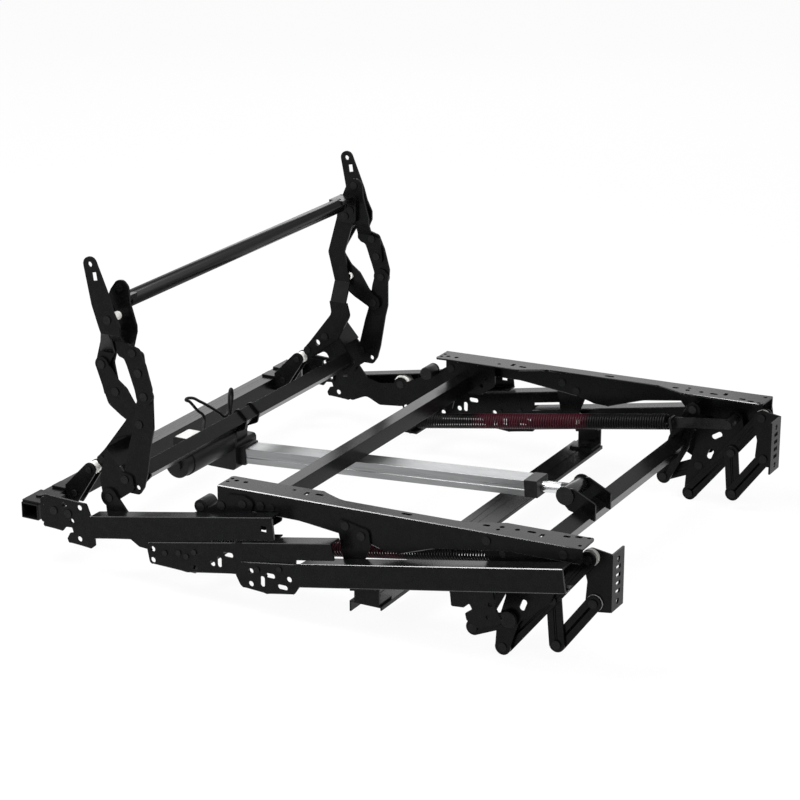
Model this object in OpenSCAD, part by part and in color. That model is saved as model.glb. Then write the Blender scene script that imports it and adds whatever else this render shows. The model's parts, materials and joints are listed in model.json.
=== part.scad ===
/* [Overall] */
// Half width over the outer faces of the seat rails
seat_half = 300; // [280:1:320]
// Incline of the base channels in degrees
track_angle = 10.5; // [10:0.1:11]
// Sheet thickness of the seat rails
rail_t = 2.5; // [2:0.1:3]
// Sheet thickness of the base channels
base_t = 2; // [1.6:0.1:2.4]
// Thickness of links, arms and plates
link_t = 3; // [2.5:0.1:3.2]

/* [Pivots] */
// Radius of the pivot pins
pin_r = 4; // [3:0.1:4.5]
// Radial clearance of a pin in its hole
pin_clear = 0.05; // [0.02:0.01:0.1]
// Radius of the pin heads
head_r = 5.5; // [5:0.1:6]
// Thickness of the pin heads
head_t = 2; // [1.5:0.1:2.2]
// Half width of the footrest links
link_r = 9.8; // [9:0.1:10.5]
// Radius of the structural rivets
rivet_r = 3; // [2:0.1:3.5]
// Radius of the fixing holes
fix_r = 3.6; // [3:0.1:4]

/* [Track] */
// Height of the base channels
channel_h = 30; // [28:0.5:32]
// Width of the track rollers
roller_w = 13; // [10:0.5:14]
// Running clearance of a roller between the channel flanges
roller_clear = 0.5; // [0.35:0.05:1]

/* [Bars] */
// Outside diameter of the round back bar
bar_d = 20; // [16:0.5:22]
// Side of the square lower bar
low_bar = 18; // [15:0.5:19]
// Side of the square drive tube
drive_sq = 20; // [16:0.5:22]
// Wall of the tubes
tube_wall = 1.8; // [1.2:0.1:2.5]
// Depth of the rear tube
rear_tube_y = 25.5; // [22:0.5:27]
// Height of the rear tube
rear_tube_z = 21; // [18:0.5:24]

/* [Actuator] */
// Offset of the actuator from the centre plane
act_x = -10; // [-14:0.5:-6]
// Width of the actuator profile
profile_w = 31; // [29:0.5:33]
// Height of the actuator profile
profile_h = 20.5; // [20:0.1:21]
// Wall of the actuator profile
profile_wall = 1.4; // [1.2:0.1:1.6]
// Diameter of the push rod
rod_d = 15; // [13:0.1:15.5]
// Diameter of the spindle
spindle_d = 8; // [7:0.1:9]
// Radius of the motor
motor_r = 19.5; // [18:0.1:20]

/* [Springs] */
// Outside diameter of the return springs
spring_d = 22; // [20:0.1:23]
// Wire diameter of the return springs
wire_d = 2.6; // [2:0.1:3]
// Number of turns of each return spring
spring_turns = 44; // [30:1:45]

/* [Hidden] */
$fn = 48;
edge_step = 0.03;
link_drop = link_t / cos(track_angle);
ts = tan(track_angle);

carrier_x = seat_half;
flange_in = carrier_x + link_t + 1.5;
roller_x = flange_in + 1;
r_web = seat_half + 22;
m_web = r_web + base_t;
f_web = m_web + base_t;
f_out = f_web + base_t;
web_in = seat_half - rail_t;
pivot_x = web_in - link_t;
lift_x = seat_half - 16;
short_x = lift_x + link_t + 1.5;
long_x = lift_x - 3.7 - link_t;
front_x = long_x - 0.7 - link_t;
lower_x = front_x - 0.7 - link_t;
foot_x = lower_x - 1.4 - rail_t;
crank_x = lift_x - 12;
spring_x = seat_half - 40;
arm_top_x = seat_half - 18;
arm_low_x = seat_half - 48;
leg_x = web_in - 4;
gus_x = leg_x + link_t;
eye_x = seat_half + 9;
rear_link_x = seat_half - 11.5;
eye_leg_x = rear_link_x - link_t;
hole_r = pin_r + pin_clear;
rivet_hole = rivet_r + pin_clear;

back_pivot = [158, -45];
drive_pivot = [-384, -15];
lift_pivot = [-440, -22];
pair_hole = [-390.5, -97];
crank_end = [-345, -117];
rod_pivot = [-341, -41.1];
long_low = [-381, -136];
long_mid = [-440, -67];
long_top = [-483, -8.5];
low_rear = [-445, -123];
low_front = [-488, -64.5];
rear_axle = [75, r_top(75) - channel_h / 2];
front_axle = [-190, f_top(-190) - channel_h / 2];
tube_c = [-365, -67];
tube_tilt = -25;
low_bar_c = [142, -26];
low_bar_tilt = 43;
bar_c = [151, 201];
motor_c = [161, -54];
act_start = [162.5, -78.4];
act_slope = atan2(rod_pivot[1] - act_start[1], act_start[0] - rod_pivot[0]);
act_len = norm(rod_pivot - act_start);
spring_a = [31, -97.5];
spring_b = [-360.5, -32.4];
spring_slope = atan2(spring_b[1] - spring_a[1], spring_a[0] - spring_b[0]);
spring_len = norm(spring_b - spring_a);
roller_r = (channel_h * cos(track_angle) - 2 * base_t) / 2 - roller_clear;
foot_front = -509;
rear_tube_front = 253;
y_mid = (rear_tube_front + rear_tube_y + foot_front) / 2;
z_low = long_low[1] - link_r;

function r_top(y) = -16.6 - (y + 92.3) * ts;
function m_top(y) = -33.5 - (y + 173.6) * ts;
function f_top(y) = -3.9 - (y + 474) * ts;
function rail_top(y) = -y * 12 / 485;

function unit2(v) = v / norm(v);
function turn2(v, a) = [v[0] * cos(a) - v[1] * sin(a), v[0] * sin(a) + v[1] * cos(a)];
function cut2(p) = [p[0], p[1]];
function corner(a, b, c, r, n) =
    let (u = unit2(a - b))
    let (v = unit2(c - b))
    let (half = acos(min(1, max(-1, u * v))) / 2)
    let (m = b + unit2(u + v) * r / sin(half))
    let (p = b + u * r / tan(half) - m)
    let (s = u[0] * v[1] - u[1] * v[0] > 0 ? -1 : 1)
    [for (i = [0 : n]) m + turn2(p, s * i * (180 - 2 * half) / n)];
function soften(p) =
    [for (i = [0 : len(p) - 1])
        let (r = len(p[i]) > 2 ? p[i][2] : 0)
        let (a = cut2(p[(i + len(p) - 1) % len(p)]))
        let (c = cut2(p[(i + 1) % len(p)]))
        each r > 0 ? corner(a, cut2(p[i]), c, r, 5) : [cut2(p[i])]];

module place() {
    translate([0, -y_mid, -z_low])
        children();
}

module both() {
    children();
    mirror([1, 0, 0])
        children();
}

module sheet(x, t, p) {
    translate([x, 0, 0])
        rotate([90, 0, 90])
            linear_extrude(t)
                polygon(soften(p));
}

module pin(p, r, x0, x1) {
    translate([x0, p[0], p[1]])
        rotate([0, 90, 0])
            cylinder(r = r, h = x1 - x0);
}

module strip(p, q, t, x0, x1) {
    d = unit2(q - p);
    n = [-d[1], d[0]] * t;
    sheet(x0, x1 - x0, [p, q, q + n, p + n]);
}

module bone(p, q, r, x, t) {
    side = turn2(unit2(q - p), 90) * (r - edge_step);
    strip(p - side, q - side, 2 * (r - edge_step), x, x + t);
    pin(p, r, x, x + t);
    pin(q, r, x, x + t);
}

module slot_x(p, l, r, vertical, x0, x1) {
    d = vertical ? [0, l / 2 - r] : [l / 2 - r, 0];
    bone(p - d, p + d, r, x0, x1 - x0);
}

module slot_z(x, y, l, r) {
    for (s = [-1, 1])
        translate([x, y + s * (l / 2 - r), -40])
            cylinder(r = r, h = 80);
    translate([x - r, y - l / 2 + r, -40])
        cube([2 * r, l - 2 * r, 80]);
}

module hole_z(x, y, r) {
    translate([x, y, -40])
        cylinder(r = r, h = 80);
}

module rivet(p, x0, x1, wide = 1.8) {
    pin(p, rivet_r, x0 - head_t + 0.5, x1 + head_t - 0.5);
    pin(p, rivet_r * wide, x0 - head_t + 0.5, x0);
    pin(p, rivet_r * wide, x1, x1 + head_t - 0.5);
}

module joggle(x0, z0, x1, z1, t, y0, y1) {
    translate([0, y1, 0])
        rotate([90, 0, 0])
            linear_extrude(y1 - y0)
                polygon([[x0, z0], [x0 + t, z0], [x1 + t, z1], [x1, z1]]);
}

module skew_joggle(x0, z0, y0, x1, z1, y1, t) {
    hull() {
        translate([x0, y0[0], z0])
            cube([t, y0[1] - y0[0], 0.02]);
        translate([x1, y1[0], z1 - 0.02])
            cube([t, y1[1] - y1[0], 0.02]);
    }
}

module along(p, slope) {
    translate([0, p[0], p[1]])
        rotate([-slope, 0, 0])
            children();
}

module tube_box(w, y, z, wall) {
    difference() {
        translate([-w / 2, -y / 2, -z / 2])
            cube([w, y, z]);
        translate([-w / 2 - 1, -y / 2 + wall, -z / 2 + wall])
            cube([w + 2, y - 2 * wall, z - 2 * wall]);
    }
}

base_rivet_rm = [[60.9, -91.4], [40.9, -87.4], [18.2, -82.2]];
base_rivet_mf = [[-73, -86], [-104, -79.5]];
rear_fix = [[211.9, -57.5], [188.5, -57.5]];
mid_fix = [[79, -90], [79, -104.5]];
front_fix = [[-63.7, -89.6], [-63.7, -106.3]];
hook_y = [-342, -376];
riser_y = [-199.5, -233];
riser_x = seat_half + 13;
riser_mid = (riser_y[0] + riser_y[1]) / 2;
crossbar_y = [-192.5, -236];
crossbar_z = -105.5;
crossbar_lips = [14, 5];

module rear_channel() {
    color([0.07, 0.07, 0.08])
    difference() {
        union() {
            sheet(r_web, base_t, [[243, -48, 4], [178, -50, 4], [172, r_top(172)],
                [-92.3, r_top(-92.3), 2], [-95.5, r_top(-95.5) - channel_h, 2],
                [-6, r_top(-6) - channel_h, 4], [3, -97, 5], [100, -92, 4],
                [112.7, r_top(112.7) - channel_h, 3], [166.8, r_top(166.8) - channel_h],
                [166.5, -104, 3], [173, -109, 4], [207, -107.5, 3], [209, -102, 2],
                [204.6, -94, 1], [199, -92.6, 1.5], [201, -86, 2], [210.5, -87, 2],
                [215.6, -93.4, 2], [245.5, -92.6, 4]]);
            strip([-92.3, r_top(-92.3) - base_t], [172, r_top(172) - base_t], base_t,
                flange_in, r_web + base_t);
            strip([-95.5, r_top(-95.5) - channel_h + edge_step], [108, r_top(108) - channel_h + edge_step],
                base_t - edge_step, flange_in, r_web + base_t);
        }
        for (p = rear_fix)
            pin(p, fix_r, r_web - 1, r_web + base_t + 1);
        for (p = [[201.4, -77.8], [190, -99.5], mid_fix[0]])
            pin(p, fix_r, r_web - 1, r_web + base_t + 1);
        for (p = base_rivet_rm)
            pin(p, rivet_hole, r_web - 1, r_web + base_t + 1);
        for (p = saddle_bolts)
            pin(p, rivet_hole, r_web - 1, r_web + base_t + 1);
        pin(anchor_rivet, rivet_hole, r_web - 1, r_web + base_t + 1);
        translate([r_web - 1, -84, r_top(-80) - channel_h / 2 - 4])
            cube([base_t + 2, 8, 8]);
    }
}

module rear_channel_l() {
    place()
        rear_channel();
}

module rear_channel_r() {
    place()
        mirror([1, 0, 0])
            rear_channel();
}

module middle_channels() {
    color([0.07, 0.07, 0.08])
    place()
    both()
    difference() {
        union() {
            sheet(m_web, base_t, [[87, -82.7, 3], [-40, m_top(-40)], [-173.6, m_top(-173.6), 2],
                [-178.8, m_top(-178.8) - 22, 2], [-126, m_top(-126) - 22], [-124, -86, 4],
                [-52, -99, 4], [-40.5, -99, 4], [29.5, -111, 6], [83.4, -110, 5], [87, -92.6, 4]]);
            strip([-173.6, m_top(-173.6) - base_t], [-50, m_top(-50) - base_t], base_t,
                flange_in, m_web + base_t);
        }
        for (p = mid_fix)
            pin(p, fix_r, m_web - 1, f_web + 1);
        front_plate_holes();
        for (p = [[17.7, -102.5], [-8, -92]])
            pin(p, fix_r, m_web - 1, f_web + 1);
        slot_x([-17.8, -88], 14, 3.2, true, m_web - 1, f_web + 1);
        slot_x([-30.7, -76], 14, 3.2, false, m_web - 1, f_web + 1);
        for (p = concat(base_rivet_rm, base_rivet_mf))
            pin(p, rivet_hole, m_web - 1, f_web + 1);
        pin(anchor_rivet, rivet_hole, m_web - 1, f_web + 1);
    }
}

module front_plate_holes() {
    for (p = concat(front_fix, [[-117.3, -90]]))
        pin(p, fix_r, m_web - 1, f_out + 1);
    slot_x([-80, -100], 14, 3.2, true, m_web - 1, f_out + 1);
    slot_x([-91, -90.5], 13, 3.2, false, m_web - 1, f_out + 1);
    slot_x([-108, -102], 14, 3.2, false, m_web - 1, f_out + 1);
}

module front_channel() {
    color([0.07, 0.07, 0.08])
    difference() {
        union() {
            sheet(f_web, base_t, [[-48.7, -80.5, 3], [-126.6, f_top(-126.6)],
                [-474, f_top(-474), 2], [-478.7, f_top(-478.7) - channel_h, 2],
                [-131, f_top(-131) - channel_h], [-124, -108, 5], [-86, -115, 8],
                [-50, -113, 8], [-41.8, -98, 5]]);
            strip([-474, f_top(-474) - base_t], [-132, f_top(-132) - base_t], base_t,
                flange_in, f_out);
            strip([-478.7, f_top(-478.7) - channel_h + edge_step],
                [-134, f_top(-134) - channel_h + edge_step], base_t - edge_step, flange_in, f_out);
        }
        front_plate_holes();
        for (p = base_rivet_mf)
            pin(p, rivet_hole, f_web - 1, f_out + 1);
        foot_bolt_holes(hook_y, r_web - 9);
    }
}

module foot_bolt_holes(ys, x) {
    for (y = ys)
        translate([x, y, f_top(y) - channel_h])
            rotate([-track_angle, 0, 0])
                translate([0, 0, -link_t - 4])
                    cylinder(r = rivet_hole, h = 12);
}

module front_channel_l() {
    place()
        front_channel();
}

module front_channel_r() {
    place()
        mirror([1, 0, 0])
            front_channel();
}

module hook_plates() {
    color([0.08, 0.08, 0.09])
    place()
    both()
    difference() {
        union() {
            sheet(r_web, base_t + 1, [[-331, f_top(-331) - channel_h], [-386, f_top(-386) - channel_h],
                [-390, -72, 4], [-398, -84, 4], [-394, -90, 4], [-383.6, -93.4, 4], [-367.5, -100.4, 5],
                [-353, -93, 4], [-351, -84.6, 2], [-360, -78, 1.5], [-356.4, -71.5, 1.5],
                [-349.2, -78, 2], [-333, -79.4, 2]]);
            strip([-386, f_top(-386) - channel_h - link_drop], [-331, f_top(-331) - channel_h - link_drop],
                link_t, flange_in + 3, r_web + base_t + 1);
        }
        pin([-383, -67.6], 3, r_web - 1, r_web + base_t + 2);
        pin([-380, -83.7], 2.5, r_web - 1, r_web + base_t + 2);
        foot_bolt_holes(hook_y, r_web - 9);
    }
}

saddle_bolts = [[206, -68], [228, -68]];
saddle_x = r_web - link_t;
anchor_rivet = [29.7, -90];
tail_side = 13;
flush_head = 1.2;

module base_rivets() {
    color([0.62, 0.63, 0.65])
    place()
    both() {
        for (p = base_rivet_rm)
            rivet(p, r_web, m_web + base_t, flush_head);
        for (p = base_rivet_mf)
            rivet(p, m_web, f_out, flush_head);
        for (p = saddle_bolts)
            rivet(p, saddle_x, r_web + base_t);
        rivet(anchor_rivet, saddle_x, f_web, flush_head);
        foot_bolts(hook_y, r_web - 9);
        for (x = [riser_x - 10, riser_x - 20])
            translate([x, riser_mid, crossbar_z - base_t])
                bolt_up(base_t + link_t);
        translate([saddle_x - 18, 265.75, -66 - tube_wall])
            bolt_up(tube_wall + link_t);
    }
}

module bolt_up(h) {
    cylinder(r = rivet_r, h = h);
    translate([0, 0, h])
        cylinder(r = rivet_r * 1.8, h = head_t);
    translate([0, 0, -head_t])
        cylinder(r = rivet_r * 1.8, h = head_t);
}

module foot_bolts(ys, x) {
    for (y = ys)
        translate([x, y, f_top(y) - channel_h])
            rotate([-track_angle, 0, 0])
                translate([0, 0, -link_t])
                    bolt_up(link_t + base_t);
}

module rear_tube() {
    color([0.09, 0.09, 0.1])
    place()
    difference() {
        translate([0, rear_tube_front + rear_tube_y / 2, -66 - rear_tube_z / 2])
            tube_box(2 * (m_web), rear_tube_y, rear_tube_z, tube_wall);
        both()
            translate([saddle_x - 18, 265.75, -80])
                cylinder(r = rivet_hole, h = 20);
    }
}

module tube_saddles() {
    color([0.08, 0.08, 0.09])
    place()
    both()
    difference() {
        union() {
            sheet(saddle_x, link_t, [[196, -54, 4], [250, -54, 4], [250, -88, 4], [196, -84, 4]]);
            translate([saddle_x - 36, 240, -66])
                cube([36 + link_t, 38, link_t]);
        }
        for (p = saddle_bolts)
            pin(p, rivet_hole, saddle_x - 1, r_web + 1);
        pin(rear_fix[0], fix_r, saddle_x - 1, r_web + 1);
        pin([201.4, -77.8], fix_r, saddle_x - 1, r_web + 1);
        translate([saddle_x - 18, 265.75, -80])
            cylinder(r = rivet_hole, h = 20);
    }
}

module base_crossbar() {
    w = riser_x + 2;
    color([0.09, 0.09, 0.1])
    place()
    difference() {
        union() {
            translate([-w, crossbar_y[1], crossbar_z - base_t])
                cube([2 * w, crossbar_y[0] - crossbar_y[1], base_t]);
            translate([-w, crossbar_y[0] - base_t, crossbar_z - crossbar_lips[0]])
                cube([2 * w, base_t, crossbar_lips[0]]);
            translate([-w, crossbar_y[1], crossbar_z - crossbar_lips[1]])
                cube([2 * w, base_t, crossbar_lips[1]]);
        }
        both()
            for (x = [riser_x - 10, riser_x - 20])
                translate([x, riser_mid, crossbar_z - 20])
                    cylinder(r = rivet_hole, h = 40);
    }
}

module crossbar_risers() {
    color([0.08, 0.08, 0.09])
    place()
    both()
    difference() {
        union() {
            sheet(riser_x, link_t, [[riser_y[0], crossbar_z], [riser_y[0], f_top(riser_y[0]) - channel_h],
                [riser_y[1], f_top(riser_y[1]) - channel_h], [riser_y[1], crossbar_z]]);
            strip([riser_y[1], f_top(riser_y[1]) - channel_h - link_drop],
                [riser_y[0], f_top(riser_y[0]) - channel_h - link_drop], link_t, flange_in, f_web);
            translate([riser_x - 28, riser_y[1], crossbar_z])
                cube([28 + link_t, riser_y[0] - riser_y[1], link_t]);
        }
        for (x = [riser_x - 10, riser_x - 20])
            translate([x, riser_mid, crossbar_z - 20])
                cylinder(r = rivet_hole, h = 40);
    }
}

module spring_anchors() {
    color([0.08, 0.08, 0.09])
    place()
    both()
    difference() {
        union() {
            sheet(saddle_x, link_t, [[20, -112], [44, -112], [44, -104, 3], [35.2, -99, 3], [35.2, -82, 4],
                [24.2, -82, 4], [24.2, -99, 3], [20, -104, 3]]);
            translate([spring_x - tail_side, 20, -112])
                cube([saddle_x + link_t - spring_x + tail_side, 24, link_t]);
            along(spring_a, spring_slope)
                translate([spring_x - tail_side, 0, -15])
                    cube([tail_side + 5, link_t, 26]);
        }
        pin(anchor_rivet, rivet_hole, saddle_x - 1, r_web + 1);
    }
}

rail_rivets = [[-202, -26.4], [-180.5, -17.4]];
pivot_rivets = [[-365, -1], [-462, 1]];
arm_rivets = [[-8, -24], [-38, -17]];
bracket_rivets = [[-62, -15.5], [-76, -15.5]];

module seat_rail() {
    color([0.08, 0.08, 0.09])
    difference() {
        union() {
            sheet(web_in, rail_t, [[0, 0, 2], [-485, 12, 2], [-484.7, -7.3, 3], [-390, -9.5, 20],
                [-300, -24, 20], [-250, -41, 6], [-228, -40, 6], [-205, -34, 12], [-120, -25, 20],
                [-50, -26], [-20, -33, 4], [-4, -33, 4], [0, -22.5, 4]]);
            intersection() {
                strip([-485, 12 - rail_t], [0, -rail_t], rail_t, web_in - 60, seat_half);
                translate([0, 0, -30])
                    linear_extrude(60)
                        polygon(soften([[seat_half, 0], [seat_half - 36, 0, 5],
                            [seat_half - 37.5, -128, 12], [seat_half - 20, -165, 16],
                            [seat_half - 20, -330, 16], [seat_half - 37.5, -372, 12],
                            [seat_half - 37.5, -484, 5], [seat_half, -485]]));
            }
        }
        for (y = concat(seat_rear_fix, seat_front_fix))
            hole_z(flange_x, y, seat_fix_r);
        for (p = flange_holes)
            hole_z(seat_half - p[0], p[1], 2.4);
        for (p = flange_slots)
            slot_z(seat_half - p[0], p[1], p[2], 2.6);
        for (p = flange_cross)
            translate([seat_half - p[0] - 4.5, p[1] - 2.6, -40])
                cube([9, 5.2, 80]);
        for (p = concat(rail_rivets, pivot_rivets, arm_rivets, bracket_rivets))
            pin(p, rivet_hole, web_in - 1, seat_half + 1);
    }
}

flange_x = seat_half - 23;
seat_fix_r = fix_r - 0.5;
seat_rear_fix = [-14, -27];
seat_front_fix = [-373.5, -393];
flange_holes = [[27, -5.5], [16, -5.5], [25, -94.4], [14, -372.6], [9, -478], [34, -478]];
flange_slots = [[24, -130, 11], [12, -255, 14], [20, -355, 9], [23.5, -411, 11],
    [28, -453, 9], [32, -466, 9]];
flange_cross = [[21, -114], [18.5, -426]];

module seat_rail_l() {
    place()
        seat_rail();
}

module seat_rail_r() {
    place()
        mirror([1, 0, 0])
            seat_rail();
}

module pivot_plates() {
    color([0.07, 0.07, 0.08])
    place()
    both()
    difference() {
        sheet(pivot_x, link_t, [[-352, 2, 4], [-474, 6, 4], [-474, -6, 6], [-458, -36, 12],
            [-424, -36, 12], [-402, -28, 10], [-370, -28, 10], [-352, -8, 6]]);
        for (p = pivot_rivets)
            pin(p, rivet_hole, pivot_x - 1, web_in + 1);
        pin(lift_pivot, hole_r, pivot_x - 1, web_in + 1);
        pin(drive_pivot, hole_r, pivot_x - 1, web_in + 1);
    }
}

module seat_crossbar() {
    color([0.09, 0.09, 0.1])
    place()
        translate([0, -33.5, -39])
            tube_box(2 * (lift_x + 1), 19, 22, tube_wall);
}

module crossbar_brackets() {
    color([0.08, 0.08, 0.09])
    place()
    both()
    difference() {
        union() {
            sheet(lift_x + 1, link_t, [[-20, -52, 3], [-60, -52, 6], [-83, -36, 5], [-83, -6], [-20, -6]]);
            translate([lift_x + 1, -83, -6 - link_t])
                cube([web_in - lift_x - 1, 63, link_t]);
            sheet(pivot_x, link_t, [[-44, -6], [-83, -6], [-83, -22, 4], [-44, -20, 4]]);
        }
        for (p = bracket_rivets)
            pin(p, rivet_hole, pivot_x - 1, web_in + 1);
        for (p = [[-62, -38], [-70, -26]])
            pin(p, 3, lift_x, lift_x + 5);
    }
}

stop_c = [22.3, -31.6];

module carrier_arms() {
    color([0.08, 0.08, 0.09])
    place()
    both()
    difference() {
        union() {
            sheet(carrier_x, link_t, [[-18, -8, 4], [2, -25, 8], [11, -31], [40, -45, 15],
                [70, -60, 15], [108, -66, 15], [130, -61, 10], [147, -40], [163, -54], [159, -99, 4],
                [153, -99, 4], [131, -89, 12], [109, -99, 10], [72, -95, 15], [35, -72, 15],
                [-10, -40, 10], [-48, -32, 8], [-54, -12, 6], [-40, -6, 6]]);
            pin(back_pivot, 12, carrier_x, carrier_x + link_t);
            pin(stop_c, 9, carrier_x, carrier_x + link_t);
            pin(rear_axle, 10, carrier_x, carrier_x + link_t);
        }
        for (p = arm_rivets)
            pin(p, rivet_hole, carrier_x - 1, carrier_x + link_t + 1);
        pin(back_pivot, hole_r, carrier_x - 1, carrier_x + link_t + 1);
        pin(rear_axle, hole_r, carrier_x - 1, carrier_x + link_t + 1);
        pin(stop_c, hole_r, carrier_x - 1, carrier_x + link_t + 1);
    }
}

module roller_hangers() {
    color([0.08, 0.08, 0.09])
    place()
    both()
    difference() {
        union() {
            sheet(carrier_x, link_t, [[-170, -10, 4], [-212, -18, 5], [-214, -36, 6],
                [-200, -72], [-180, -72], [-171, -26, 6]]);
            pin(front_axle, 10, carrier_x, carrier_x + link_t);
        }
        for (p = rail_rivets)
            pin(p, rivet_hole, carrier_x - 1, carrier_x + link_t + 1);
        pin(front_axle, hole_r, carrier_x - 1, carrier_x + link_t + 1);
    }
}

module seat_rivets() {
    color([0.62, 0.63, 0.65])
    place()
    both() {
        for (p = concat(rail_rivets, arm_rivets))
            rivet(p, web_in, carrier_x + link_t);
        for (p = concat(pivot_rivets, bracket_rivets))
            rivet(p, pivot_x, seat_half);
    }
}

module pivot_pins() {
    color([0.7, 0.71, 0.73])
    place()
    both() {
        pin(lift_pivot, pin_r, spring_x - 6, web_in);
        pin(lift_pivot, head_r, lift_x + link_t + 0.35, pivot_x);
        pin(lift_pivot, head_r, spring_x - 6, spring_x - 6 + head_t);
        pin(lift_pivot, 6, spring_x + 4, lift_x - 0.35);
        pin(drive_pivot, pin_r, crank_x - 0.35 - head_t, web_in);
        pin(drive_pivot, head_r, crank_x - 0.35 - head_t, crank_x - 0.35);
        pin(drive_pivot, head_r, crank_x + link_t + 0.35, pivot_x);
        for (p = [rear_axle, front_axle]) {
            pin(p, pin_r, carrier_x, roller_x + roller_w + 0.35 + head_t / 2);
            pin(p, head_r, roller_x + roller_w + 0.35, roller_x + roller_w + 0.35 + head_t / 2);
            pin(p, head_r, carrier_x - head_t / 2, carrier_x);
        }
        pin(stop_c, pin_r, stop_x, carrier_x + link_t);
        pin(stop_c, head_r, carrier_x + link_t, carrier_x + link_t + 1);
    }
}

stop_x = seat_half - 22;

module stop_rollers() {
    color([0.1, 0.1, 0.11])
    place()
    both()
    difference() {
        pin(stop_c, 9, stop_x, carrier_x - 0.5);
        pin(stop_c, hole_r, stop_x - 1, carrier_x);
    }
}

module spring_clips() {
    color([0.55, 0.56, 0.58])
    place()
    both()
    difference() {
        union() {
            along(spring_b, spring_slope)
                translate([spring_x - tail_side, -link_t - 0.35, -8])
                    cube([tail_side + 5, link_t, 16]);
            bone(spring_b - [4, -0.6], lift_pivot, 7, spring_x - 2.5, link_t);
        }
        pin(lift_pivot, hole_r, spring_x - 10, spring_x + 10);
        along(spring_b, spring_slope)
            translate([spring_x - tail_side - 2, -0.35, -20])
                cube([40, 20, 40]);
    }
}

module rollers(p) {
    color([0.88, 0.87, 0.83])
    place()
    both()
    difference() {
        pin(p, roller_r, roller_x, roller_x + roller_w);
        pin(p, hole_r, roller_x - 1, roller_x + roller_w + 1);
    }
}

module rear_rollers() {
    rollers(rear_axle);
}

module front_rollers() {
    rollers(front_axle);
}

module at_tube() {
    translate([0, tube_c[0], tube_c[1]])
        rotate([-tube_tilt, 0, 0])
            children();
}

screw_z = [-9, 0];
ear_gap = 43;
ear_slip = 6.5;

module drive_tube() {
    color([0.09, 0.09, 0.1])
    place()
    at_tube()
    difference() {
        union() {
            tube_box(2 * (crank_x - 14), drive_sq, drive_sq, tube_wall);
            both()
                translate([crank_x - 22, -drive_sq / 2, drive_sq / 2 - 4])
                    cube([22, drive_sq, 4]);
            both()
                translate([crank_x - link_t, -drive_sq / 2, -drive_sq / 2 - 4])
                    cube([link_t, drive_sq, drive_sq + 4]);
        }
        both()
            for (z = screw_z)
                translate([crank_x - 10, 0, z])
                    rotate([0, 90, 0])
                        cylinder(r = rivet_hole, h = 20);
    }
}

module crank_arms() {
    color([0.07, 0.07, 0.08])
    place()
    both()
    difference() {
        union() {
            sheet(crank_x, link_t, [[-393.4, -17], [-374.8, -12.4], [-351, -58, 12], [-335.6, -114.6],
                [-354.2, -119.6], [-379, -72, 12]]);
            pin(drive_pivot, link_r, crank_x, crank_x + link_t);
            pin(crank_end, link_r, crank_x, crank_x + link_t);
        }
        pin(drive_pivot, hole_r, crank_x - 1, crank_x + link_t + 1);
        pin(crank_end, hole_r, crank_x - 1, crank_x + link_t + 1);
        at_tube()
            for (z = screw_z)
                translate([crank_x - 10, 0, z])
                    rotate([0, 90, 0])
                        cylinder(r = rivet_hole, h = 20);
    }
}

slip_dir = [-0.83, 0.55];

module clevis_ears() {
    color([0.07, 0.07, 0.08])
    place()
    for (x = [act_x - ear_gap / 2 - link_t, act_x + ear_gap / 2])
        difference() {
            sheet(x, link_t, [[-382, -46, 4], [-350, -30, 8], [-333, -36, 6], [-333, -47, 6],
                [-346, -60], [-382, -68]]);
            bone(rod_pivot, rod_pivot + slip_dir * ear_slip, pin_r + 0.9, x - 1, link_t + 2);
            at_tube()
                translate([x - 1, -drive_sq / 2, -drive_sq / 2])
                    cube([link_t + 2, drive_sq, drive_sq]);
        }
}

module drive_screws() {
    color([0.62, 0.63, 0.65])
    place()
    both()
        at_tube()
            for (z = screw_z)
                translate([0, 0, z])
                    rotate([0, 90, 0]) {
                        translate([0, 0, crank_x - link_t])
                            cylinder(r = rivet_r, h = 2 * link_t);
                        translate([0, 0, crank_x - link_t - head_t])
                            cylinder(r = rivet_r * 1.7, h = head_t);
                        translate([0, 0, crank_x + link_t])
                            cylinder(r = rivet_r * 1.7, h = 1.5);
                    }
}

module crank_pins() {
    color([0.7, 0.71, 0.73])
    place()
    both() {
        pin(crank_end, pin_r, crank_x - head_t, short_x + link_t + 0.35 + head_t);
        pin(crank_end, head_r, crank_x - head_t, crank_x);
        pin(crank_end, head_r, crank_x + link_t, short_x - 0.35);
        pin(crank_end, head_r, short_x + link_t + 0.35, short_x + link_t + 0.35 + head_t);
    }
}

module lift_plates() {
    color([0.07, 0.07, 0.08])
    place()
    both()
    difference() {
        union() {
            sheet(lift_x, link_t, [[-434, -14.3], [-449, -18], [-452, -34, 6], [-446, -55, 10],
                [-440, -69, 8], [-402, -100, 10], [-390.5, -133.8], [-371.4, -137.4], [-373, -110, 10],
                [-384, -72, 15], [-386, -48, 10], [-400, -37, 10], [-428, -30, 10]]);
            pin(lift_pivot, link_r, lift_x, lift_x + link_t);
            pin(long_low, link_r, lift_x, lift_x + link_t);
        }
        pin(lift_pivot, hole_r, lift_x - 1, lift_x + link_t + 1);
        pin(long_low, hole_r, lift_x - 1, lift_x + link_t + 1);
        pin(pair_hole, hole_r, lift_x - 1, lift_x + link_t + 1);
        bone([-419, -48], [-411, -53], 3.5, lift_x - 1, link_t + 2);
        bone([-408, -74], [-405, -82], 3.5, lift_x - 1, link_t + 2);
    }
}

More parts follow.
